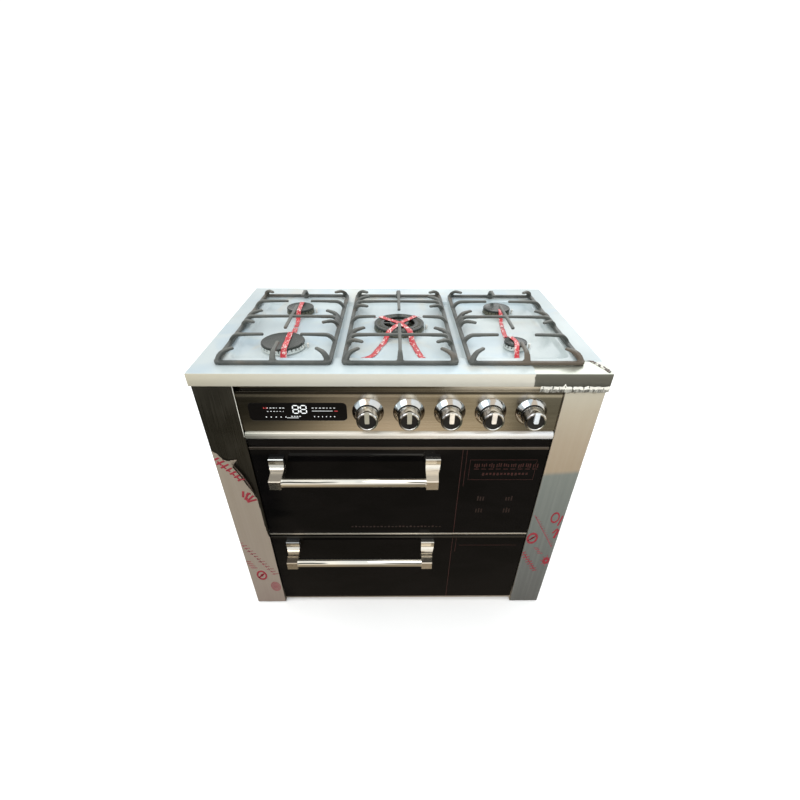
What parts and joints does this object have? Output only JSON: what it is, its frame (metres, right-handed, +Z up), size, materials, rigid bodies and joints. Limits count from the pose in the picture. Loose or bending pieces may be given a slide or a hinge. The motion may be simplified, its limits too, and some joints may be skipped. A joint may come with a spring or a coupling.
{
  "type": "gas cooker",
  "caption": "Free-standing gas cooker with a wide hob, cast pan supports, a drop-down oven door with a bar handle and a storage drawer below.",
  "frame": {"origin": "on the floor, at the middle of the overall width and of the overall depth with the handles", "axes": "+X to the right as the cook sees the front, +Y towards the wall, +Z up"},
  "size_m": [0.9, 0.6402, 0.843],
  "materials": {
    "hob_steel": "brushed stainless steel under thin film",
    "casing_steel": "brushed stainless steel",
    "inner_steel": "plain galvanised sheet",
    "black_enamel": "satin vitreous enamel",
    "black_gloss": "gloss black lacquer",
    "black_glass": "polished, printed black behind",
    "smoked_glass": "smoked, polished",
    "chrome": "polished",
    "chromed_plastic": "chromed",
    "satin_aluminium": "satin anodised",
    "cast_alloy": "cast, lightly matt",
    "cast_iron": "matt grey enamel over cast iron",
    "brass": "machined",
    "black_plastic": "fine grained",
    "seal_rubber": "matt silicone",
    "mineral_wool": "loose fibre",
    "porcelain": "glazed white",
    "lamp_glass": "clear"
  },
  "bodies": {
    "cooker": {"side_panel_left": "casing_steel", "side_panel_right": "casing_steel", "back_panel": "inner_steel", "base_pan": "inner_steel", "inner_decks": "inner_steel", "front_stile_left": "casing_steel", "front_stile_right": "casing_steel", "oven_surround": "black_enamel", "levelling_feet": "black_plastic", "hob_top": "hob_steel", "control_panel": "casing_steel", "panel_trim": "chrome", "vent_strip": "black_gloss", "display_window": "black_glass", "display_housing": "black_plastic", "knob_bezels": "chrome", "gas_manifold": "cast_alloy", "gas_valves": "brass", "supply_pipes": "cast_alloy", "burner_cups": "cast_alloy", "burner_crowns": "cast_alloy", "spark_electrodes": "porcelain", "oven_liner": "inner_steel", "oven_insulation": "mineral_wool", "oven_burner": "inner_steel", "oven_lamp": "lamp_glass", "door_seal": "seal_rubber", "hinge_pins": "inner_steel", "drawer_runners": "inner_steel", "cable_gland": "black_plastic", "oven_shelf": "chrome", "baking_tray": "black_enamel"},
    "oven_door": {"door_glass": "black_glass", "door_frame": "inner_steel", "door_inner_glass": "smoked_glass", "door_trims": "satin_aluminium", "door_handle": "chrome"},
    "drawer": {"drawer_box": "casing_steel", "drawer_glass": "black_glass", "drawer_trims": "satin_aluminium", "drawer_handle": "chrome", "drawer_slides": "satin_aluminium"},
    "spindle_1": {"spindle_1": "brass"},
    "knob_1": {"knob_1": "chromed_plastic"},
    "spindle_2": {"spindle_2": "brass"},
    "knob_2": {"knob_2": "chromed_plastic"},
    "spindle_3": {"spindle_3": "brass"},
    "knob_3": {"knob_3": "chromed_plastic"},
    "spindle_4": {"spindle_4": "brass"},
    "knob_4": {"knob_4": "chromed_plastic"},
    "spindle_5": {"spindle_5": "brass"},
    "knob_5": {"knob_5": "chromed_plastic"},
    "burner_cap_left_front": {"cap_left_front": "black_enamel"},
    "burner_cap_left_rear": {"cap_left_rear": "black_enamel"},
    "burner_cap_centre": {"cap_centre": "black_enamel"},
    "burner_cap_right_rear": {"cap_right_rear": "black_enamel"},
    "burner_cap_right_front": {"cap_right_front": "black_enamel"},
    "pan_support_left": {"grate_left": "cast_iron"},
    "pan_support_centre": {"grate_centre": "cast_iron"},
    "pan_support_right": {"grate_right": "cast_iron"}
  },
  "joints": [
    {"name": "oven_door_hinge", "type": "hinge", "parent": "cooker", "child": "oven_door", "pos_m": [0, -0.24795, 0.323], "axis": [1, 0, 0], "range_deg": [0, 90], "stiffness_Nm_per_rad": 5, "springref_deg": -17.19},
    {"name": "drawer_slide", "type": "slide", "parent": "cooker", "child": "drawer", "axis": [0, -1, 0], "range_m": [0, 0.4]},
    {"name": "knob_1_turn", "type": "hinge", "parent": "cooker", "child": "spindle_1", "pos_m": [-0.0715, -0.25695, 0.716], "axis": [0, -1, 0], "range_deg": [0, 210]},
    {"name": "knob_1_push", "type": "slide", "parent": "spindle_1", "child": "knob_1", "axis": [0, 1, 0], "range_m": [0, 0.003], "stiffness_N_per_m": 1600},
    {"name": "knob_2_turn", "type": "hinge", "parent": "cooker", "child": "spindle_2", "pos_m": [0.02, -0.25695, 0.716], "axis": [0, -1, 0], "range_deg": [0, 210]},
    {"name": "knob_2_push", "type": "slide", "parent": "spindle_2", "child": "knob_2", "axis": [0, 1, 0], "range_m": [0, 0.003], "stiffness_N_per_m": 1600},
    {"name": "knob_3_turn", "type": "hinge", "parent": "cooker", "child": "spindle_3", "pos_m": [0.1115, -0.25695, 0.716], "axis": [0, -1, 0], "range_deg": [0, 210]},
    {"name": "knob_3_push", "type": "slide", "parent": "spindle_3", "child": "knob_3", "axis": [0, 1, 0], "range_m": [0, 0.003], "stiffness_N_per_m": 1600},
    {"name": "knob_4_turn", "type": "hinge", "parent": "cooker", "child": "spindle_4", "pos_m": [0.203, -0.25695, 0.716], "axis": [0, -1, 0], "range_deg": [0, 210]},
    {"name": "knob_4_push", "type": "slide", "parent": "spindle_4", "child": "knob_4", "axis": [0, 1, 0], "range_m": [0, 0.003], "stiffness_N_per_m": 1600},
    {"name": "knob_5_turn", "type": "hinge", "parent": "cooker", "child": "spindle_5", "pos_m": [0.2945, -0.25695, 0.716], "axis": [0, -1, 0], "range_deg": [0, 210]},
    {"name": "knob_5_push", "type": "slide", "parent": "spindle_5", "child": "knob_5", "axis": [0, 1, 0], "range_m": [0, 0.003], "stiffness_N_per_m": 1600},
    {"name": "cap_left_front_lift", "type": "slide", "parent": "cooker", "child": "burner_cap_left_front", "axis": [0, 0, 1], "range_m": [0, 0.008]},
    {"name": "cap_left_rear_lift", "type": "slide", "parent": "cooker", "child": "burner_cap_left_rear", "axis": [0, 0, 1], "range_m": [0, 0.008]},
    {"name": "cap_centre_lift", "type": "slide", "parent": "cooker", "child": "burner_cap_centre", "axis": [0, 0, 1], "range_m": [0, 0.008]},
    {"name": "cap_right_rear_lift", "type": "slide", "parent": "cooker", "child": "burner_cap_right_rear", "axis": [0, 0, 1], "range_m": [0, 0.008]},
    {"name": "cap_right_front_lift", "type": "slide", "parent": "cooker", "child": "burner_cap_right_front", "axis": [0, 0, 1], "range_m": [0, 0.008]},
    {"name": "grate_left_lift", "type": "slide", "parent": "cooker", "child": "pan_support_left", "axis": [0, 0, 1], "range_m": [0, 0.1]},
    {"name": "grate_centre_lift", "type": "slide", "parent": "cooker", "child": "pan_support_centre", "axis": [0, 0, 1], "range_m": [0, 0.1]},
    {"name": "grate_right_lift", "type": "slide", "parent": "cooker", "child": "pan_support_right", "axis": [0, 0, 1], "range_m": [0, 0.1]}
  ]
}
